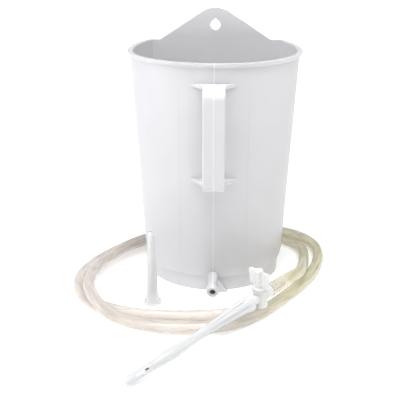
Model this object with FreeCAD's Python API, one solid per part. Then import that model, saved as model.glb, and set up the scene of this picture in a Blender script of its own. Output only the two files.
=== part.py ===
# Two-litre irrigator set: a hanging can, its hose with a stopcock, and two cannulas.
# Millimetres, +Z up. The can stands on z = 0, its flat back faces +Y and its handle faces -Y.
# Sizes are measured from the rim's widest line, then the set is moved so its origin is under the can's middle.
import math
import os

import FreeCAD
import Part

V = FreeCAD.Vector
os.makedirs("parts", exist_ok=True)

originShift = 16.7          # +Y move that centres the can's outside on the origin

# ---- can: D-shaped section, wide at the rim and narrower at the foot ----
canHeight = 215.0           # floor to rim
canWall = 2.0
bodyBottom = 15.0           # height where the body steps in to the foot ring
rimHalfWidth = 75.0
rimFrontDepth = 56.5        # from the widest line to the front of the wall
rimWidestY = 0.0
rimBackY = 48.0
rimBackHalfWidth = 60.5
baseHalfWidth = 65.8
baseFrontDepth = 58.5
baseWidestY = 8.0
baseBackY = 43.5
baseBackHalfWidth = 55.4
lipReach = 2.5              # how far the rim flares past the wall
lipBand = 1.3               # upright edge of the flare
lipHeight = 4.2
bottomRound = [(0.0, 1.5), (1.8, 0.8), (4.5, 0.3), (9.0, 0.0)]   # (height above the step, set-in)
footInset = 3.0
footTaper = 0.6
footWall = 2.0
floorTop = 13.3
floorThickness = 2.0
cavityFootInset = 5.0       # keeps a full wall where the cavity dips into the foot
cavityStep = 19.0           # height where the cavity narrows to the dip

# ---- hanging tab with its teardrop hole ----
tabHalfWidth = 52.0
tabRise = 29.4              # rim to the top of the tab
tabRadius = 24.0
tabThickness = 2.0
hangHoleRise = 13.8         # rim to the centre of the hole
hangHoleRadius = 4.75
hangHolePoint = 6.45        # centre of the hole to the point of the drop

# ---- handle: a strap whose two ends flare into the wall ----
handleDrop = 17.0           # rim to the top of the strap
handleHeight = 88.0
handleReach = 23.5          # strap's face in front of the rim's wall
handleHalfWidth = 9.4
handleThickness = 3.0
handleTopBend = 9.0
handleBottomBend = 5.0
handleEdge = 1.2
wingHalfWidth = 19.9
wingSink = 3.35             # how far the wings run in past the wall's face at the lower wing
wingFlank = 4.0             # from the wings' root to where their hollow flanks begin
wingWaist = 19.5            # strap's face to the narrowest part of the flanks
wingTip = 9.0               # strap's face to where the flanks meet the strap

# ---- moulding bead down the middle of the front ----
beadHalfWidth = 0.35
beadHeight = 0.25

# ---- outlet spigot ----
spigotZ = 16.2
spigotBore = 2.65
spigotProfile = [(-5.0, 4.7), (2.0, 4.45), (9.5, 4.0), (16.5, 3.8), (21.0, 4.3),
                 (24.3, 5.5), (26.5, 6.0), (28.9, 5.6), (30.9, 4.6)]   # (out from the wall's foot, radius)
webFootX = 13.6
webTopZ = 11.6
webInnerX = 3.0
webOut = 0.7                # the brace's faces, out from and in behind the wall's foot
webIn = 3.9

# ---- axis shared by the stopcock and the long cannula ----
tapMouth = V(32.25, -105.6, 20.0)   # centre of the cannula's rim
tapHeading = 45.5           # degrees from +X, towards the hose
tapTilt = 6.0               # degrees up towards the hose

# ---- stopcock body, in its own frame: +X towards the hose, +Z along the plug ----
barrelX = 13.0
barrelWall = 2.15           # around the plug
barrelBottom = -9.0
barrelTop = 8.0
flangeStep = 0.7
flangeHeight = 1.6
neckStart = 0.6             # just outside the cannula's rim
neckStep = 1.0              # neck over the nose
collarRadius = 5.4
collarEnd = 25.2
noseStart = -14.0
noseEnd = -4.0
noseRootRadius = 3.4
noseTaper = 0.3             # radius lost from root to tip
tailEnd = 43.5
tailGap = 0.3               # tail under the hose's bore
barbBite = 0.2              # barbs over the hose's bore, which stretches on to them
barbCount = 3
barbPitch = 6.0
flowRadius = 1.9

# ---- stopcock key: tapered wing on a round plug ----
plugRadius = 4.0
plugClearance = 0.05
snapLip = 0.7               # catches under the barrel
snapHeight = 1.0
keyGap = 0.3
capInset = 0.3              # cap's edge inside the barrel's flange
capHeight = 2.0
stemInset = 0.3             # stem under the plug
stemTop = 26.4
wingBottomZ = 11.0
wingTopZ = 25.6
wingTopHalf = 11.0
wingBottomHalf = 9.8
wingWaistHalf = 6.0
wingThickness = 2.6

# ---- long cannula, in the same frame: (x, outer radius) from rim to the start of its round tip ----
longProfile = [(0.0, 7.4), (-4.0, 7.25), (-11.0, 6.7), (-19.0, 6.0), (-32.0, 5.1), (-45.0, 4.45),
               (-58.0, 3.95), (-68.0, 4.05), (-78.0, 4.7), (-88.0, 5.0), (-97.0, 4.7), (-106.0, 4.0),
               (-115.0, 3.75), (-126.0, 3.75), (-131.0, 4.05), (-134.0, 4.1)]
longBore = 2.4
socketMouth = 5.9
socketClearance = 0.05
socketDepth = 15.0
fluteCount = 8
fluteWidth = 1.9
fluteBed = [(-3.5, 7.6), (-8.0, 6.35), (-19.0, 5.4), (-32.0, 4.5), (-45.0, 3.95), (-51.0, 3.7),
            (-56.5, 4.3)]   # (x, radius) of the groove's floor, running out at both ends
ringX = -112.5
slotCount = 4
slotWidth = 1.3
slotStart = -116.5
slotEnd = -129.0

# ---- short cannula, standing on its flange ----
shortX = -54.2
shortY = -71.1
shortFlangeRadius = 8.0
shortFlangeThickness = 1.8
shortHeight = 70.0
shortSkirtRadius = 6.7
shortTubeRadius = 5.0
shortTubeStart = 11.0
shortTipRadius = 2.9
shortSocketMouth = 5.5
shortSocketDepth = 12.0     # takes the nose of the stopcock, as the long cannula does
shortOutlet = 1.3

# ---- hose: two turns laid round the can, first turn leaning on the second at the left ----
hoseBore = 3.5
hoseWall = 1.75
hoseRoute = [
    (50.4, -87.15, 22.7), (67.1, -70.1, 25.2), (80.2, -45.6, 18.8), (85.5, -20.0, 12.8),
    (88.8, 3.0, 7.2), (90.8, 26.7, 5.3), (86.6, 40.8, 5.3), (77.2, 52.2, 5.3),
    (64.2, 59.0, 5.3), (40.0, 62.5, 5.3), (12.0, 64.0, 5.8), (-14.0, 62.5, 7.8),
    (-37.0, 57.5, 10.6), (-54.5, 50.0, 11.6), (-69.5, 39.0, 11.6), (-85.0, 24.5, 11.7),
    (-97.0, 6.5, 12.0), (-105.5, -13.5, 12.4), (-110.8, -33.5, 13.4), (-113.0, -54.0, 15.8),
    (-111.8, -75.0, 17.8), (-102.5, -94.5, 14.2), (-84.0, -110.5, 6.8), (-58.0, -119.5, 5.3),
    (-30.0, -124.5, 5.3), (0.0, -122.5, 5.3), (27.0, -111.0, 5.3), (47.3, -90.9, 5.3),
    (66.8, -65.1, 5.3), (84.5, -39.5, 5.3), (98.5, -11.5, 5.3), (105.3, 16.0, 5.3),
    (104.0, 41.5, 5.3), (91.0, 63.0, 5.3), (67.0, 77.0, 5.3), (38.0, 84.5, 5.3),
    (8.0, 86.0, 5.3), (-22.0, 80.5, 5.3), (-46.0, 69.5, 5.3), (-66.0, 54.5, 5.3),
    (-84.5, 38.5, 5.3), (-101.0, 20.0, 5.3), (-114.5, -1.0, 5.3), (-123.5, -21.0, 5.3),
    (-126.8, -42.0, 5.3), (-121.5, -64.0, 5.3), (-107.5, -82.5, 5.3), (-87.0, -95.5, 5.3),
    (-62.0, -103.0, 5.3), (-35.0, -105.0, 5.3), (-8.0, -103.5, 5.3), (12.0, -100.5, 5.3),
    (26.0, -96.0, 5.3)]

# ---- places and radii that follow from the sizes above ----
tabTop = canHeight + tabRise
hangHoleZ = canHeight + hangHoleRise
handleTop = canHeight - handleDrop
handleBottom = handleTop - handleHeight
handleFront = rimWidestY - rimFrontDepth - handleReach
footY = baseWidestY - baseFrontDepth     # front of the wall at the step
barrelRadius = plugRadius + plugClearance + barrelWall
flangeRadius = barrelRadius + flangeStep
capRadius = flangeRadius - capInset
stemRadius = plugRadius - stemInset
snapRadius = plugRadius + snapLip
noseTipRadius = noseRootRadius - noseTaper
neckRadius = noseRootRadius + neckStep
tailRadius = hoseBore - tailGap
barbRadius = hoseBore + barbBite
hoseRadius = hoseBore + hoseWall


def section(z, inset, backInset, frame):
    """Closed D outline at height z, moved inwards from the wall's outside by inset."""
    halfWidth, frontDepth, widestY, backY, backHalfWidth = frame
    rearDepth = (backY - widestY) / math.sqrt(1.0 - (backHalfWidth / halfWidth) ** 2)

    def point(angle):
        depth = rearDepth if angle > 0.0 else frontDepth
        x = halfWidth * math.cos(angle)
        y = depth * math.sin(angle)
        nx = x / halfWidth ** 2
        ny = y / depth ** 2
        length = math.hypot(nx, ny)
        return x - inset * nx / length, widestY + y - inset * ny / length

    low = 0.0
    high = math.pi / 2
    for _ in range(50):
        middle = (low + high) / 2
        if point(middle)[1] < backY - backInset:
            low = middle
        else:
            high = middle
    corner = low
    count = 40
    points = []
    for i in range(count + 1):
        angle = corner - (math.pi + 2 * corner) * i / count
        if angle < -math.pi / 2:
            x, y = point(-math.pi - angle)
            x = -x
        else:
            x, y = point(angle)
        points.append(V(x, y, z))
    curve = Part.BSplineCurve()
    curve.interpolate(points)
    back = Part.LineSegment(points[-1], points[0])
    return Part.Wire([curve.toShape(), back.toShape()])


def frameAt(z):
    """Outside measures of the body at height z, along its straight draft."""
    t = (z - bodyBottom) / (canHeight - bodyBottom)
    base = (baseHalfWidth, baseFrontDepth, baseWidestY, baseBackY, baseBackHalfWidth)
    rim = (rimHalfWidth, rimFrontDepth, rimWidestY, rimBackY, rimBackHalfWidth)
    return tuple(b + (r - b) * t for b, r in zip(base, rim))


def between(low, high):
    return Part.makeLoft([low, high], True, True)


lowerWall = frameAt(handleBottom)
wingRootY = lowerWall[2] - lowerWall[1] + wingSink


def makeTab():
    # the flank is tangent to the round top, so its angle is found from the tangent length
    rise = tabTop - tabRadius - canHeight
    reach = math.hypot(tabHalfWidth, rise)
    slope = math.asin(tabRadius / reach) + math.atan2(rise, tabHalfWidth)
    tx = tabRadius * math.sin(slope)
    tz = tabTop - tabRadius + tabRadius * math.cos(slope)
    y = rimBackY - tabThickness
    edges = [
        Part.LineSegment(V(-tabHalfWidth, y, canHeight), V(-tx, y, tz)).toShape(),
        Part.Arc(V(-tx, y, tz), V(0, y, tabTop), V(tx, y, tz)).toShape(),
        Part.LineSegment(V(tx, y, tz), V(tabHalfWidth, y, canHeight)).toShape(),
        Part.LineSegment(V(tabHalfWidth, y, canHeight), V(-tabHalfWidth, y, canHeight)).toShape()]
    return Part.Face(Part.Wire(edges)).extrude(V(0, tabThickness, 0))


def makeHangHole():
    y = rimBackY - tabThickness - 1.0
    run = V(0, tabThickness + 2.0, 0)
    angle = math.acos(hangHoleRadius / hangHolePoint)
    tx = hangHoleRadius * math.sin(angle)
    tz = hangHoleZ + hangHoleRadius * math.cos(angle)
    edges = [
        Part.Arc(V(tx, y, tz), V(0, y, hangHoleZ - hangHoleRadius), V(-tx, y, tz)).toShape(),
        Part.LineSegment(V(-tx, y, tz), V(0, y, hangHoleZ + hangHolePoint)).toShape(),
        Part.LineSegment(V(0, y, hangHoleZ + hangHolePoint), V(tx, y, tz)).toShape()]
    return Part.Face(Part.Wire(edges)).extrude(run)


def bentStrap(x, inset):
    """Side outline of the handle, moved inwards by inset from its outer skin."""
    top = handleTop - inset
    bottom = handleBottom + inset
    front = handleFront + inset
    topBend = handleTopBend - inset
    bottomBend = handleBottomBend - inset
    k = 1.0 - math.sqrt(0.5)
    return [
        Part.LineSegment(V(x, wingRootY, top), V(x, front + topBend, top)).toShape(),
        Part.Arc(V(x, front + topBend, top), V(x, front + topBend * k, top - topBend * k),
                 V(x, front, top - topBend)).toShape(),
        Part.LineSegment(V(x, front, top - topBend), V(x, front, bottom + bottomBend)).toShape(),
        Part.Arc(V(x, front, bottom + bottomBend), V(x, front + bottomBend * k, bottom + bottomBend * k),
                 V(x, front + bottomBend, bottom)).toShape(),
        Part.LineSegment(V(x, front + bottomBend, bottom), V(x, wingRootY, bottom)).toShape()]


def strapSolid(inset):
    x = -handleHalfWidth
    edges = bentStrap(x, inset)
    edges.append(Part.LineSegment(V(x, wingRootY, handleBottom + inset),
                                  V(x, wingRootY, handleTop - inset)).toShape())
    return Part.Face(Part.Wire(edges)).extrude(V(2 * handleHalfWidth, 0, 0))


def makeWing(z):
    """Plate that widens from the strap to the wall, with hollow flanks."""
    w = handleHalfWidth
    flankY = wingRootY - wingFlank
    wingTipY = handleFront + wingTip
    mid = V(w + 2.2, handleFront + wingWaist, z)
    edges = [
        Part.LineSegment(V(-wingHalfWidth, wingRootY, z), V(wingHalfWidth, wingRootY, z)).toShape(),
        Part.LineSegment(V(wingHalfWidth, wingRootY, z), V(wingHalfWidth, flankY, z)).toShape(),
        Part.Arc(V(wingHalfWidth, flankY, z), mid, V(w, wingTipY, z)).toShape(),
        Part.LineSegment(V(w, wingTipY, z), V(-w, wingTipY, z)).toShape(),
        Part.Arc(V(-w, wingTipY, z), V(-mid.x, mid.y, z), V(-wingHalfWidth, flankY, z)).toShape(),
        Part.LineSegment(V(-wingHalfWidth, flankY, z), V(-wingHalfWidth, wingRootY, z)).toShape()]
    return Part.Face(Part.Wire(edges)).extrude(V(0, 0, handleThickness))


def makeHandle():
    outer = strapSolid(0.0)
    skin = []
    for edge in outer.Edges:
        box = edge.BoundBox
        flat = abs(box.XMax - box.XMin) < 1e-6
        onBack = box.YMin > wingRootY - 1e-6
        if flat and not onBack:
            skin.append(edge)
    outer = outer.makeFillet(handleEdge, skin)
    strap = outer.cut(strapSolid(handleThickness))
    return strap.fuse([makeWing(handleTop - handleThickness), makeWing(handleBottom)])


def makeBead():
    """Thin raised line where the two mould halves meet, down the wall and over the strap."""
    x = -beadHalfWidth
    width = V(2 * beadHalfWidth, 0, 0)
    foot = frameAt(bodyBottom)
    top = frameAt(canHeight - lipHeight)
    yFoot = foot[2] - foot[1]
    yTop = top[2] - top[1]
    zTop = canHeight - lipHeight
    wall = Part.makePolygon([
        V(x, yFoot + 1.0, bodyBottom), V(x, yFoot - beadHeight, bodyBottom),
        V(x, yTop - beadHeight, zTop), V(x, yTop + 1.0, zTop), V(x, yFoot + 1.0, bodyBottom)])
    front = handleFront - beadHeight
    strap = Part.makePolygon([
        V(x, front + 1.0, handleTop - handleTopBend), V(x, front, handleTop - handleTopBend),
        V(x, front, handleBottom + handleBottomBend), V(x, front + 1.0, handleBottom + handleBottomBend),
        V(x, front + 1.0, handleTop - handleTopBend)])
    return [Part.Face(wall).extrude(width), Part.Face(strap).extrude(width)]


def makeSpigot():
    points = [V(0, footY - out, spigotZ + r) for out, r in spigotProfile]
    curve = Part.BSplineCurve()
    curve.interpolate(points)
    first = points[0]
    last = points[-1]
    edges = [
        curve.toShape(),
        Part.LineSegment(last, V(0, last.y, spigotZ)).toShape(),
        Part.LineSegment(V(0, last.y, spigotZ), V(0, first.y, spigotZ)).toShape(),
        Part.LineSegment(V(0, first.y, spigotZ), first).toShape()]
    return Part.Face(Part.Wire(edges)).revolve(V(0, 0, spigotZ), V(0, 1, 0), 360)


def makeWeb():
    """Small brace from the spigot down to the foot ring."""
    y = footY - webOut
    wire = Part.makePolygon([V(webInnerX, y, 0), V(webFootX, y, 0), V(webInnerX + 2.2, y, webTopZ),
                             V(webInnerX, y, webTopZ), V(webInnerX, y, 0)])
    return Part.Face(wire).extrude(V(0, webOut + webIn, 0))


def makeCan():
    baseFrame = frameAt(bodyBottom)
    rimFrame = frameAt(canHeight)
    rounds = []
    for rise, inset in bottomRound:
        z = bodyBottom + rise
        rounds.append(section(z, inset, inset, frameAt(z)))
    rounds.append(section(canHeight, 0.0, 0.0, rimFrame))
    body = Part.makeLoft(rounds, True, True)
    foot = between(section(0.0, footInset + footTaper, footInset, baseFrame),
                   section(bodyBottom + 0.8, footInset, footInset, baseFrame))
    zFlare = canHeight - lipBand
    zFlareFoot = canHeight - lipHeight - 1.0
    flare = between(section(zFlareFoot, canWall / 2, 0.0, frameAt(zFlareFoot)),
                    section(zFlare, -lipReach, 0.0, frameAt(zFlare)))
    band = between(section(zFlare, -lipReach, 0.0, frameAt(zFlare)),
                   section(canHeight, -lipReach, 0.0, rimFrame))
    tab = makeTab().cut(makeHangHole())
    shell = body.fuse([foot, flare, band])

    above = canHeight + 1.0
    cavity = between(section(cavityStep, canWall, canWall, frameAt(cavityStep)),
                     section(above, canWall, canWall, frameAt(above)))
    dip = between(section(floorTop, cavityFootInset, cavityFootInset, baseFrame),
                  section(cavityStep + 2.0, cavityFootInset, cavityFootInset, baseFrame))
    hollow = footInset + footTaper + footWall
    recess = between(section(-1.0, hollow, hollow, baseFrame),
                     section(floorTop - floorThickness, hollow, hollow, baseFrame))
    room = cavity.fuse(dip)
    # the strap and the outlet run past the wall's inside, so each is trimmed by the room before it joins
    shell = shell.cut(room).cut(recess)
    handle = makeHandle().cut(room)
    spigot = makeSpigot().fuse(makeWeb()).cut(room).cut(recess)
    beads = [bead.cut(room) for bead in makeBead()]
    solid = shell.fuse([handle, spigot] + beads)
    start = footY - spigotProfile[-1][0] - 3.6
    bore = Part.makeCylinder(spigotBore, 44.0, V(0, start, spigotZ), V(0, 1, 0))
    solid = solid.cut(bore).fuse(tab)
    return solid.removeSplitter()


def toPlace(shape):
    """From the stopcock's own frame to where it lies on the hose."""
    shape.rotate(V(0, 0, 0), V(0, 1, 0), -tapTilt)
    shape.rotate(V(0, 0, 0), V(0, 0, 1), tapHeading)
    shape.translate(tapMouth)
    return shape


def alongX(x0, x1, r0, r1=None):
    """Cylinder or cone on the flow axis from x0 to x1."""
    if r1 is None or abs(r1 - r0) < 1e-9:
        return Part.makeCylinder(r0, x1 - x0, V(x0, 0, 0), V(1, 0, 0))
    return Part.makeCone(r0, r1, x1 - x0, V(x0, 0, 0), V(1, 0, 0))


def upright(radius, low, high):
    return Part.makeCylinder(radius, high - low, V(barrelX, 0, low), V(0, 0, 1))


def makeTapBody():
    pieces = [upright(flangeRadius, barrelTop - flangeHeight, barrelTop),
              alongX(noseStart, noseEnd, noseTipRadius, noseRootRadius),
              alongX(noseEnd, neckStart, noseRootRadius),
              alongX(neckStart, barrelX, neckRadius),
              alongX(barrelX, collarEnd, collarRadius),
              alongX(collarEnd, tailEnd, tailRadius)]
    for i in range(barbCount):
        start = tailEnd - 0.6 - (i + 1) * barbPitch
        pieces.append(alongX(start + 1.0, start + barbPitch - 1.5, barbRadius, tailRadius))
    solid = upright(barrelRadius, barrelBottom, barrelTop).fuse(pieces)
    solid = solid.cut(alongX(noseStart - 1.0, tailEnd + 1.0, flowRadius))
    solid = solid.cut(upright(plugRadius + plugClearance, barrelBottom - 1.0, barrelTop + 1.0))
    return toPlace(solid.removeSplitter())


def makeTapKey():
    capBase = barrelTop + keyGap
    wingX = barrelX - wingThickness / 2
    outline = [(wingWaistHalf, capBase + capHeight - 0.5), (wingWaistHalf, wingBottomZ),
               (wingBottomHalf, wingBottomZ), (wingTopHalf, wingTopZ - 1.2),
               (wingTopHalf - 1.2, wingTopZ)]
    points = [V(wingX, y, z) for y, z in outline]
    points += [V(wingX, -y, z) for y, z in reversed(outline)]
    points.append(points[0])
    wing = Part.Face(Part.makePolygon(points)).extrude(V(wingThickness, 0, 0))
    snapTop = barrelBottom - keyGap
    solid = upright(plugRadius, snapTop - snapHeight, capBase + 0.5)
    solid = solid.fuse([upright(capRadius, capBase, capBase + capHeight),
                        upright(stemRadius, capBase, stemTop),
                        upright(snapRadius, snapTop - snapHeight, snapTop), wing])
    # closed at rest: the way through the plug lies across the flow
    port = Part.makeCylinder(flowRadius, 2 * plugRadius + 2.0, V(barrelX, -plugRadius - 1.0, 0), V(0, 1, 0))
    return toPlace(solid.cut(port).removeSplitter())


def makeLongCannula():
    points = [V(x, 0, r) for x, r in longProfile]
    curve = Part.BSplineCurve()
    curve.interpolate(points)
    shoulder = points[-1]
    tip = V(shoulder.x - shoulder.z, 0, 0)
    bow = V(shoulder.x - shoulder.z * math.sqrt(0.5), 0, shoulder.z * math.sqrt(0.5))
    edges = [
        curve.toShape(),
        Part.Arc(shoulder, bow, tip).toShape(),
        Part.LineSegment(tip, V(0, 0, 0)).toShape(),
        Part.LineSegment(V(0, 0, 0), points[0]).toShape()]
    solid = Part.Face(Part.Wire(edges)).revolve(V(0, 0, 0), V(1, 0, 0), 360)
    gap = socketClearance
    solid = solid.cut(alongX(noseEnd, 0.5, noseRootRadius + gap, socketMouth + 0.3))
    solid = solid.cut(alongX(noseStart, noseEnd, noseTipRadius + gap, noseRootRadius + gap))
    solid = solid.cut(alongX(-socketDepth, noseStart, longBore, noseTipRadius + gap))
    solid = solid.cut(alongX(slotEnd - 1.0, -socketDepth, longBore))
    tools = []
    for i in range(fluteCount):
        bed = [V(x, -fluteWidth / 2, r) for x, r in fluteBed]
        rim = [V(fluteBed[-1][0], -fluteWidth / 2, 9.0), V(fluteBed[0][0], -fluteWidth / 2, 9.0)]
        groove = Part.Face(Part.makePolygon(bed + rim + bed[:1])).extrude(V(0, fluteWidth, 0))
        groove.rotate(V(0, 0, 0), V(1, 0, 0), (i + 0.5) * 360.0 / fluteCount)
        tools.append(groove)
    for i in range(slotCount):
        slot = Part.makeBox(slotStart - slotEnd, slotWidth, 4.0, V(slotEnd, -slotWidth / 2, 1.0))
        slot.rotate(V(0, 0, 0), V(1, 0, 0), 45.0 + i * 360.0 / slotCount)
        tools.append(slot)
    ring = alongX(ringX - 0.4, ringX + 0.4, 6.0).cut(alongX(ringX - 0.5, ringX + 0.5, 3.5))
    tools.append(ring)
    return toPlace(solid.cut(tools).removeSplitter())


def makeShortCannula():
    outer = [(0.0, 0.0), (shortFlangeRadius, 0.0), (shortFlangeRadius, shortFlangeThickness),
             (shortSkirtRadius, shortFlangeThickness), (shortTubeRadius, shortTubeStart),
             (shortTipRadius, shortHeight - 2.6), (shortTipRadius - 1.0, shortHeight), (0.0, shortHeight),
             (0.0, 0.0)]
    c = socketClearance
    socketTop = 3.0 + shortSocketDepth
    inner = [(0.0, -1.0), (shortSocketMouth, -1.0), (shortSocketMouth, 0.6), (noseRootRadius + c, 3.0),
             (noseTipRadius + c, socketTop), (noseTipRadius - 1.0, socketTop + 1.0),
             (shortOutlet, shortHeight - 4.0), (shortOutlet, shortHeight + 1.0), (0.0, shortHeight + 1.0),
             (0.0, -1.0)]
    shapes = []
    for outline in (outer, inner):
        wire = Part.makePolygon([V(shortX + r, shortY, z) for r, z in outline])
        shapes.append(Part.Face(wire).revolve(V(shortX, shortY, 0), V(0, 0, 1), 360))
    return shapes[0].cut(shapes[1])


def hosePath():
    points = [V(*p) for p in hoseRoute]
    edges = []
    start = points[0]
    radii = []
    for i in range(1, len(points) - 1):
        before = points[i].sub(points[i - 1])
        after = points[i + 1].sub(points[i])
        turn = before.getAngle(after)
        shorter = min(before.Length, after.Length)
        back = 0.45 * shorter
        radii.append(back / math.tan(turn / 2))
        u = V(before).normalize()
        w = V(after).normalize()
        enter = points[i].sub(V(u).multiply(back))
        leave = points[i].add(V(w).multiply(back))
        bisect = w.sub(u).normalize()
        sag = radii[-1] / math.cos(turn / 2) - radii[-1]
        middle = points[i].add(bisect.multiply(sag))
        edges.append(Part.LineSegment(start, enter).toShape())
        edges.append(Part.Arc(enter, middle, leave).toShape())
        start = leave
    edges.append(Part.LineSegment(start, points[-1]).toShape())
    print("hose radii: least %.1f mm, %d bends" % (min(radii), len(radii)))
    return Part.Wire(edges)


def makeHose():
    path = hosePath()
    start = V(*hoseRoute[0])
    way = V(*hoseRoute[1]).sub(start)
    tubes = []
    for radius in (hoseRadius, hoseBore):
        ring = Part.Wire([Part.Circle(start, way, radius).toShape()])
        tubes.append(path.makePipeShell([ring], True, False))
    solid = tubes[0].cut(tubes[1])
    area = math.pi * (hoseRadius ** 2 - hoseBore ** 2)
    print("hose length %.0f mm, volume %.0f against %.0f mm3" % (path.Length, solid.Volume, area * path.Length))
    return solid


nodes = {
    "can": makeCan,
    "hose": makeHose,
    "tap_body": makeTapBody,
    "tap_key": makeTapKey,
    "long_cannula": makeLongCannula,
    "short_cannula": makeShortCannula,
}
for name, make in nodes.items():
    shape = make()
    if shape.ShapeType == "Compound" and len(shape.Solids) == 1:
        shape = shape.Solids[0]
    shape.translate(V(0, originShift, 0))
    shape.exportStep("parts/%s.step" % name)
    box = shape.BoundBox
    print("%s: solids %d valid %s volume %.0f mm3, x %.1f..%.1f y %.1f..%.1f z %.1f..%.1f" % (
        name, len(shape.Solids), shape.isValid(), shape.Volume,
        box.XMin, box.XMax, box.YMin, box.YMax, box.ZMin, box.ZMax))
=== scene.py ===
import math

import bpy
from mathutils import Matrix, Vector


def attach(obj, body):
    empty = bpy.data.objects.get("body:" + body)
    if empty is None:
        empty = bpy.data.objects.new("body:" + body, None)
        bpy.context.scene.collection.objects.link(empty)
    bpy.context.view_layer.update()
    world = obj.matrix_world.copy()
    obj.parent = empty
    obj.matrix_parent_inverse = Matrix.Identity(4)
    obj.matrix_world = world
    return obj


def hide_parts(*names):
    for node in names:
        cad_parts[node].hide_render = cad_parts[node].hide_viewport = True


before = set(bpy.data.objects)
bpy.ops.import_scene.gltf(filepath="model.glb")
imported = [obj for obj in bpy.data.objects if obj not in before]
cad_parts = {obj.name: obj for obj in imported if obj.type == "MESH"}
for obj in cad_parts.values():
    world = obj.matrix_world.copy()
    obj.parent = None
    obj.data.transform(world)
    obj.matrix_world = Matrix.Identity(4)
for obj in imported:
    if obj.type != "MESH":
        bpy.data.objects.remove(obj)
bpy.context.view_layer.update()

mm = 0.001


def linear(hexColour):
    channels = [int(hexColour[i:i + 2], 16) / 255 for i in (1, 3, 5)]
    return [c / 12.92 if c <= 0.04045 else ((c + 0.055) / 1.055) ** 2.4 for c in channels] + [1.0]


def addNode(tree, kind, values=None, links=None, **settings):
    node = tree.nodes.new(kind)
    for name, value in settings.items():
        setattr(node, name, value)
    for socket, value in (values or {}).items():
        node.inputs[socket].default_value = value
    for socket, source in (links or {}).items():
        tree.links.new(source, node.inputs[socket])
    return node


def newMaterial(name):
    material = bpy.data.materials.new(name)
    material.use_nodes = True
    material.node_tree.nodes.clear()
    return material, material.node_tree


def dress(piece, material):
    piece.data.materials.clear()
    piece.data.materials.append(material)


# the view: a 71 mm lens a little above the rim, looking down at the front
viewSettings = {
    "place": (0.005, -0.6833, 0.3574),
    "down": 22.23,           # degrees
    "left": 1.49,            # degrees
    "lens": 71.35,           # mm, on a sensor 36 mm wide
    "sensor": 36.0,
}
cameraData = bpy.data.cameras.new("camera")
cameraData.lens = viewSettings["lens"]
cameraData.sensor_width = viewSettings["sensor"]
camera = bpy.data.objects.new("camera", cameraData)
camera.location = viewSettings["place"]
camera.rotation_euler = (math.radians(90 - viewSettings["down"]), 0, math.radians(viewSettings["left"]))
bpy.context.collection.objects.link(camera)
bpy.context.scene.camera = camera
print("camera in place")

# the hose: limp clear vinyl, two turns round the can, its end bare
hoseSettings = {
    "diameter": 10.5 * mm,
    "length": 1.27,
    "frontShift": 16.7,      # from the rim's widest line, where the route is measured, to the frame's origin
    "endSwell": 1.14,        # how much the first few millimetres are stretched over the tail
    "carries": ("tap_body", "tap_key", "long_cannula"),
    "route": [
        (50.4, -87.15, 22.7), (67.1, -70.1, 25.2), (80.2, -45.6, 18.8), (85.5, -20.0, 12.8),
        (88.8, 3.0, 7.2), (90.8, 26.7, 5.3), (86.6, 40.8, 5.3), (77.2, 52.2, 5.3),
        (64.2, 59.0, 5.3), (40.0, 62.5, 5.3), (12.0, 64.0, 5.8), (-14.0, 62.5, 7.8),
        (-37.0, 57.5, 10.6), (-54.5, 50.0, 11.6), (-69.5, 39.0, 11.6), (-85.0, 24.5, 11.7),
        (-97.0, 6.5, 12.0), (-105.5, -13.5, 12.4), (-110.8, -33.5, 13.4), (-113.0, -54.0, 15.8),
        (-111.8, -75.0, 17.8), (-102.5, -94.5, 14.2), (-84.0, -110.5, 6.8), (-58.0, -119.5, 5.3),
        (-30.0, -124.5, 5.3), (0.0, -122.5, 5.3), (27.0, -111.0, 5.3), (47.3, -90.9, 5.3),
        (66.8, -65.1, 5.3), (84.5, -39.5, 5.3), (98.5, -11.5, 5.3), (105.3, 16.0, 5.3),
        (104.0, 41.5, 5.3), (91.0, 63.0, 5.3), (67.0, 77.0, 5.3), (38.0, 84.5, 5.3),
        (8.0, 86.0, 5.3), (-22.0, 80.5, 5.3), (-46.0, 69.5, 5.3), (-66.0, 54.5, 5.3),
        (-84.5, 38.5, 5.3), (-101.0, 20.0, 5.3), (-114.5, -1.0, 5.3), (-123.5, -21.0, 5.3),
        (-126.8, -42.0, 5.3), (-121.5, -64.0, 5.3), (-107.5, -82.5, 5.3), (-87.0, -95.5, 5.3),
        (-62.0, -103.0, 5.3), (-35.0, -105.0, 5.3), (-8.0, -103.5, 5.3), (12.0, -100.5, 5.3),
        (26.0, -96.0, 5.3)],
}


def makeHose():
    curve = bpy.data.curves.new("hose", "CURVE")
    curve.dimensions = "3D"
    curve.resolution_u = 10
    curve.bevel_depth = 1.0      # so that each point's own radius is the hose's, in metres
    curve.bevel_resolution = 8
    curve.use_fill_caps = True
    spline = curve.splines.new("NURBS")
    route = hoseSettings["route"]
    spline.points.add(len(route) - 1)
    for point, (x, y, z) in zip(spline.points, route):
        point.co = (x * mm, (y + hoseSettings["frontShift"]) * mm, z * mm, 1.0)
        point.radius = hoseSettings["diameter"] / 2
    spline.points[0].radius *= hoseSettings["endSwell"]
    spline.order_u = 3
    spline.use_endpoint_u = True
    spline.use_smooth = True
    hose = bpy.data.objects.new("clearHose", curve)
    bpy.context.collection.objects.link(hose)
    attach(hose, "set")
    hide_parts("hose")
    return hose


hose = makeHose()
print("hose laid")

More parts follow.
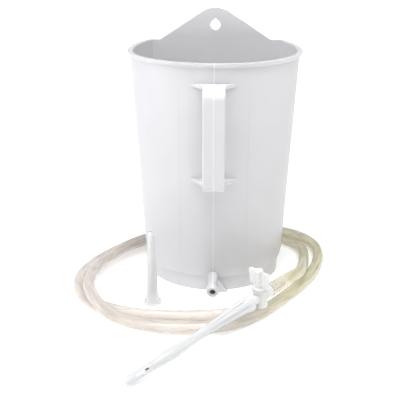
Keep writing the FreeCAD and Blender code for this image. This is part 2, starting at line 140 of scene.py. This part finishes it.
# moulded polypropylene: an even white with a waxy half gloss and a faint orange-peel skin
canFinish = {
    "colour": "#d2d2d4",
    "shade": "#c9c9cc",
    "cloud": 45.0,           # mm across a patch of the uneven tone
    "roughness": 0.29,
    "peel": 2.2,             # mm between the bumps of the skin
    "peelHeight": 0.02,
    "seamPlace": 30.0,       # mm either side of the middle
    "seamWidth": 0.45,
    "seamLow": 34.0,
    "seamHigh": 196.0,
    "seamFade": 8.0,         # mm over which a seam dies out at each end
    "seamColour": "#b9bbc1",
    "seamDepth": 0.35,
    "seamHeight": 0.15,
    # the parting thread carries a painted highlight, its colour lightened towards white
    "threadCore": 0.3,       # mm from the middle to where the parting thread starts to fade
    "threadEdge": 0.75,
    "threadPaintedHighlight": 0.3,
    "threadFront": -31.0,    # the thread shows only in front of this, on the outside
    "subsurface": 0.12,
    "subsurfaceDepth": 1.5,
}


def mouldedPolypropylene():
    f = canFinish
    material, tree = newMaterial("mouldedPolypropylene")
    place = addNode(tree, "ShaderNodeTexCoord")
    split = addNode(tree, "ShaderNodeSeparateXYZ", links={"Vector": place.outputs["Object"]})
    cloud = addNode(tree, "ShaderNodeTexNoise", {"Scale": 1 / (f["cloud"] * mm), "Detail": 3.0},
                    {"Vector": place.outputs["Object"]})
    tone = addNode(tree, "ShaderNodeMix", {"A": linear(f["colour"]), "B": linear(f["shade"])},
                   {"Factor": cloud.outputs["Fac"]}, data_type="RGBA")
    # two faint upright seams where the mould's slides met
    side = addNode(tree, "ShaderNodeMath", links={0: split.outputs["X"]}, operation="ABSOLUTE")
    away = addNode(tree, "ShaderNodeMath", {1: f["seamPlace"] * mm}, {0: side.outputs[0]},
                   operation="SUBTRACT")
    near = addNode(tree, "ShaderNodeMath", links={0: away.outputs[0]}, operation="ABSOLUTE")
    line = addNode(tree, "ShaderNodeMapRange", {"From Min": 0.0, "From Max": f["seamWidth"] * mm,
                                                "To Min": 1.0, "To Max": 0.0},
                   {"Value": near.outputs[0]}, interpolation_type="SMOOTHSTEP")
    front = addNode(tree, "ShaderNodeMath", {1: 0.0}, {0: split.outputs["Y"]}, operation="LESS_THAN")
    above = addNode(tree, "ShaderNodeMapRange",
                    {"From Min": f["seamLow"] * mm, "From Max": (f["seamLow"] + f["seamFade"]) * mm},
                    {"Value": split.outputs["Z"]}, interpolation_type="SMOOTHSTEP")
    below = addNode(tree, "ShaderNodeMapRange",
                    {"From Min": (f["seamHigh"] - f["seamFade"]) * mm, "From Max": f["seamHigh"] * mm,
                     "To Min": 1.0, "To Max": 0.0},
                    {"Value": split.outputs["Z"]}, interpolation_type="SMOOTHSTEP")
    span = addNode(tree, "ShaderNodeMath", links={0: above.outputs[0], 1: below.outputs[0]},
                   operation="MULTIPLY")
    span = addNode(tree, "ShaderNodeMath", links={0: span.outputs[0], 1: front.outputs[0]},
                   operation="MULTIPLY")
    seam = addNode(tree, "ShaderNodeMath", links={0: span.outputs[0], 1: line.outputs[0]},
                   operation="MULTIPLY")
    dim = addNode(tree, "ShaderNodeMath", {1: f["seamDepth"]}, {0: seam.outputs[0]}, operation="MULTIPLY")
    colour = addNode(tree, "ShaderNodeMix", {"B": linear(f["seamColour"])},
                     {"Factor": dim.outputs[0], "A": tone.outputs["Result"]}, data_type="RGBA")
    # the parting line is a raised, polished thread; the light it catches is a painted highlight, its colour
    # lightened towards white
    thread = addNode(tree, "ShaderNodeMapRange",
                     {"From Min": f["threadCore"] * mm, "From Max": f["threadEdge"] * mm,
                      "To Min": f["threadPaintedHighlight"], "To Max": 0.0},
                     {"Value": side.outputs[0]}, interpolation_type="SMOOTHSTEP")
    outer = addNode(tree, "ShaderNodeMath", {1: f["threadFront"] * mm}, {0: split.outputs["Y"]},
                    operation="LESS_THAN")
    paintedHighlight = addNode(tree, "ShaderNodeMath", links={0: thread.outputs[0], 1: outer.outputs[0]},
                     operation="MULTIPLY")
    colour = addNode(tree, "ShaderNodeMix", {"B": linear("#ffffff")},
                     {"Factor": paintedHighlight.outputs[0], "A": colour.outputs["Result"]}, data_type="RGBA")
    peel = addNode(tree, "ShaderNodeTexNoise", {"Scale": 1 / (f["peel"] * mm), "Detail": 2.0},
                   {"Vector": place.outputs["Object"]})
    skin = addNode(tree, "ShaderNodeBump", {"Strength": 0.25, "Distance": f["peelHeight"] * mm},
                   {"Height": peel.outputs["Fac"]})
    ridge = addNode(tree, "ShaderNodeBump", {"Strength": 0.6, "Distance": f["seamHeight"] * mm},
                    {"Height": seam.outputs[0], "Normal": skin.outputs["Normal"]})
    gloss = addNode(tree, "ShaderNodeMapRange",
                    {"To Min": f["roughness"] - 0.04, "To Max": f["roughness"] + 0.06},
                    {"Value": cloud.outputs["Fac"]})
    shader = addNode(tree, "ShaderNodeBsdfPrincipled",
                     {"IOR": 1.49, "Subsurface Weight": f["subsurface"],
                      "Subsurface Scale": f["subsurfaceDepth"] * mm, "Subsurface Radius": (1.0, 1.0, 1.0)},
                     {"Base Color": colour.outputs["Result"], "Roughness": gloss.outputs[0],
                      "Normal": ridge.outputs["Normal"]})
    addNode(tree, "ShaderNodeOutputMaterial", links={"Surface": shader.outputs[0]})
    return material


# plasticised vinyl: milky clear, beige where it lies open and yellower to the right, with a wet gloss
hoseFinish = {
    "beige": "#e6e0dc",
    "yellow": "#e6e3c4",
    # deep: the colour of the painted shade at the edges and of the darker streaks
    "deep": "#90867d",
    "roughness": 0.14,
    "clear": 0.62,           # how much shows through where the wall faces the eye
    "window": "#f6f3ee",     # tint of what shows through
    "yellowAt": 85.0,        # mm to the right of the middle where the yellow is full
    "streaks": (50.0, 8.0, 1.0),   # how many along the hose and round it
    "rimPaintedShade": 0.85,        # how far the painted shade darkens the edges towards the deep colour
    "blotDepth": 0.45,       # and the streaks
    "ripple": 9.0,           # mm between the waves of the skin
    "rippleHeight": 0.25,
    "subsurface": 0.35,
    "subsurfaceDepth": 4.0,
    "tailEnds": (0.012, 0.02),   # share of the length over which the stretched start ends
    "tailClear": 1.5,        # how much clearer the stretched start is
}


def plasticisedVinyl():
    f = hoseFinish
    material, tree = newMaterial("plasticisedVinyl")
    place = addNode(tree, "ShaderNodeTexCoord")
    split = addNode(tree, "ShaderNodeSeparateXYZ", links={"Vector": place.outputs["Object"]})
    across = addNode(tree, "ShaderNodeMapRange", {"From Min": 0.0, "From Max": f["yellowAt"] * mm},
                     {"Value": split.outputs["X"]}, interpolation_type="SMOOTHSTEP")
    base = addNode(tree, "ShaderNodeMix", {"A": linear(f["beige"]), "B": linear(f["yellow"])},
                   {"Factor": across.outputs[0]}, data_type="RGBA")
    # faint darker lengthwise streaks, about 25 mm long and 4 mm across
    lengthwise = addNode(tree, "ShaderNodeMapping", {"Scale": f["streaks"]}, {"Vector": place.outputs["UV"]})
    cloud = addNode(tree, "ShaderNodeTexNoise", {"Scale": 1.0, "Detail": 4.0, "Roughness": 0.6},
                    {"Vector": lengthwise.outputs["Vector"]})
    # painted shade: where the wall turns away from the eye the colour darkens towards the deep colour,
    # standing in for the darker refraction at the tube's edges
    edge = addNode(tree, "ShaderNodeLayerWeight", {"Blend": 0.35})
    rim = addNode(tree, "ShaderNodeMapRange",
                  {"From Min": 0.35, "From Max": 1.0, "To Min": 0.0, "To Max": f["rimPaintedShade"]},
                  {"Value": edge.outputs["Facing"]}, interpolation_type="SMOOTHSTEP")
    blot = addNode(tree, "ShaderNodeMapRange",
                   {"From Min": 0.42, "From Max": 0.68, "To Min": 0.0, "To Max": f["blotDepth"]},
                   {"Value": cloud.outputs["Fac"]})
    depth = addNode(tree, "ShaderNodeMath", links={0: rim.outputs[0], 1: blot.outputs[0]},
                    operation="MAXIMUM")
    colour = addNode(tree, "ShaderNodeMix", {"B": linear(f["deep"])},
                     {"Factor": depth.outputs[0], "A": base.outputs["Result"]}, data_type="RGBA")
    ripple = addNode(tree, "ShaderNodeTexNoise", {"Scale": 1 / (f["ripple"] * mm), "Detail": 2.0},
                     {"Vector": place.outputs["Object"]})
    skin = addNode(tree, "ShaderNodeBump", {"Strength": 0.35, "Distance": f["rippleHeight"] * mm},
                   {"Height": ripple.outputs["Fac"]})
    shader = addNode(tree, "ShaderNodeBsdfPrincipled",
                     {"Roughness": f["roughness"], "IOR": 1.53, "Subsurface Weight": f["subsurface"],
                      "Subsurface Scale": f["subsurfaceDepth"] * mm, "Subsurface Radius": (1.0, 1.0, 0.9),
                      "Coat Weight": 0.4, "Coat Roughness": 0.08},
                     {"Base Color": colour.outputs["Result"], "Normal": skin.outputs["Normal"]})
    window = addNode(tree, "ShaderNodeBsdfTransparent", {"Color": linear(f["window"])})
    through = addNode(tree, "ShaderNodeMapRange",
                      {"From Min": 0.1, "From Max": 0.75, "To Min": f["clear"], "To Max": 0.0},
                      {"Value": edge.outputs["Facing"]})
    # stretched thin over the tail of the stopcock, so clearer there
    run = addNode(tree, "ShaderNodeSeparateXYZ", links={"Vector": place.outputs["UV"]})
    thin = addNode(tree, "ShaderNodeMapRange",
                   {"From Min": f["tailEnds"][0], "From Max": f["tailEnds"][1],
                    "To Min": f["tailClear"], "To Max": 1.0},
                   {"Value": run.outputs["X"]})
    through = addNode(tree, "ShaderNodeMath", links={0: through.outputs[0], 1: thin.outputs[0]},
                      operation="MULTIPLY")
    mixed = addNode(tree, "ShaderNodeMixShader", links={"Fac": through.outputs[0], 1: shader.outputs[0],
                                                        2: window.outputs[0]})
    addNode(tree, "ShaderNodeOutputMaterial", links={"Surface": mixed.outputs[0]})
    return material


# natural polyethylene: milky, lets a little light through, with faint flow marks
cannulaFinish = {
    "colour": "#dadbdc",
    "shade": "#d2d3d5",
    "roughness": 0.22,
    "flow": 16.0,            # mm across a flow mark
    "subsurface": 0.12,
    "subsurfaceDepth": 1.0,
}
# acetal: a warmer and slightly lighter white than the cannulas, a touch duller
tapFinish = {
    "colour": "#dfdfde",
    "shade": "#d8d8d6",
    "roughness": 0.26,
    "flow": 5.0,
    "subsurface": 0.25,
    "subsurfaceDepth": 1.5,
}


def milkyPlastic(name, finish):
    material, tree = newMaterial(name)
    place = addNode(tree, "ShaderNodeTexCoord")
    cloud = addNode(tree, "ShaderNodeTexNoise", {"Scale": 1 / (finish["flow"] * mm), "Detail": 3.0},
                    {"Vector": place.outputs["Object"]})
    colour = addNode(tree, "ShaderNodeMix", {"A": linear(finish["colour"]), "B": linear(finish["shade"])},
                     {"Factor": cloud.outputs["Fac"]}, data_type="RGBA")
    gloss = addNode(tree, "ShaderNodeMapRange",
                    {"To Min": finish["roughness"] - 0.05, "To Max": finish["roughness"] + 0.08},
                    {"Value": cloud.outputs["Fac"]})
    skin = addNode(tree, "ShaderNodeBump", {"Strength": 0.1, "Distance": 0.05 * mm},
                   {"Height": cloud.outputs["Fac"]})
    shader = addNode(tree, "ShaderNodeBsdfPrincipled",
                     {"IOR": 1.51, "Subsurface Weight": finish["subsurface"],
                      "Subsurface Scale": finish["subsurfaceDepth"] * mm,
                      "Subsurface Radius": (1.0, 1.0, 1.0)},
                     {"Base Color": colour.outputs["Result"], "Roughness": gloss.outputs[0],
                      "Normal": skin.outputs["Normal"]})
    addNode(tree, "ShaderNodeOutputMaterial", links={"Surface": shader.outputs[0]})
    return material


cannulaPlastic = milkyPlastic("naturalPolyethylene", cannulaFinish)
tapPlastic = milkyPlastic("mouldedAcetal", tapFinish)
dress(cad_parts["can"], mouldedPolypropylene())
dress(hose, plasticisedVinyl())
dress(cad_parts["tap_body"], tapPlastic)
dress(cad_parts["tap_key"], tapPlastic)
dress(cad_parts["long_cannula"], cannulaPlastic)
dress(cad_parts["short_cannula"], cannulaPlastic)
print("materials on")

# the studio: a white floor that glows a little more away from the set, a soft top light and side strips
studio = {
    "floor": "#f2f2f2",
    "floorReach": 8.0,       # metres
    "floorGlow": 0.32,
    "farGlow": 0.95,
    "glowFrom": 0.3,         # metres from the middle where the glow starts to rise
    "glowTo": 1.3,
    "world": 0.25,
    "aim": (0, 0, 0.1),
    "lights": [
        # name, place and size in metres, watts, colour
        ("overhead", (0.0, -0.55, 1.35), (1.4, 1.0), 4.5, "#ffffff"),
        ("top", (0.0, -0.2, 0.82), (0.7, 0.4), 5.6, "#ffffff"),
        ("front", (0.25, -1.7, 0.95), (0.9, 0.6), 1.5, "#ffffff"),
        ("left", (-1.1, -0.35, 0.45), (0.22, 1.0), 6.2, "#fbfcff"),
        ("right", (1.2, -0.1, 0.45), (0.5, 1.0), 2.4, "#fffdf9"),
    ],
}


def makeStudio():
    floorMesh = bpy.data.meshes.new("floor")
    reach = studio["floorReach"]
    floorMesh.from_pydata([(-reach, -reach, 0), (reach, -reach, 0), (reach, reach, 0), (-reach, reach, 0)],
                          [], [(0, 1, 2, 3)])
    floor = bpy.data.objects.new("floor", floorMesh)
    bpy.context.collection.objects.link(floor)
    material, tree = newMaterial("paperSweep")
    place = addNode(tree, "ShaderNodeTexCoord")
    away = addNode(tree, "ShaderNodeVectorMath", links={0: place.outputs["Object"]}, operation="LENGTH")
    glow = addNode(tree, "ShaderNodeMapRange",
                   {"From Min": studio["glowFrom"], "From Max": studio["glowTo"],
                    "To Min": studio["floorGlow"], "To Max": studio["farGlow"]},
                   {"Value": away.outputs["Value"]})
    shader = addNode(tree, "ShaderNodeBsdfPrincipled",
                     {"Base Color": linear(studio["floor"]), "Roughness": 0.9, "Specular IOR Level": 0.1,
                      "Emission Color": linear("#ffffff")}, {"Emission Strength": glow.outputs[0]})
    addNode(tree, "ShaderNodeOutputMaterial", links={"Surface": shader.outputs[0]})
    dress(floor, material)
    world = bpy.data.worlds.new("studio")
    world.use_nodes = True
    background = world.node_tree.nodes["Background"]
    background.inputs["Color"].default_value = linear("#ffffff")
    background.inputs["Strength"].default_value = studio["world"]
    bpy.context.scene.world = world
    for name, place, size, power, colour in studio["lights"]:
        data = bpy.data.lights.new(name, "AREA")
        data.shape = "RECTANGLE"
        data.size, data.size_y = size
        data.energy = power
        data.color = linear(colour)[:3]
        light = bpy.data.objects.new(name, data)
        light.location = place
        aim = Vector(studio["aim"]) - Vector(place)
        light.rotation_euler = aim.to_track_quat("-Z", "Y").to_euler()
        bpy.context.collection.objects.link(light)


makeStudio()
bpy.context.scene.view_settings.view_transform = "Standard"
bpy.context.scene.view_settings.look = "None"
print("studio lit")
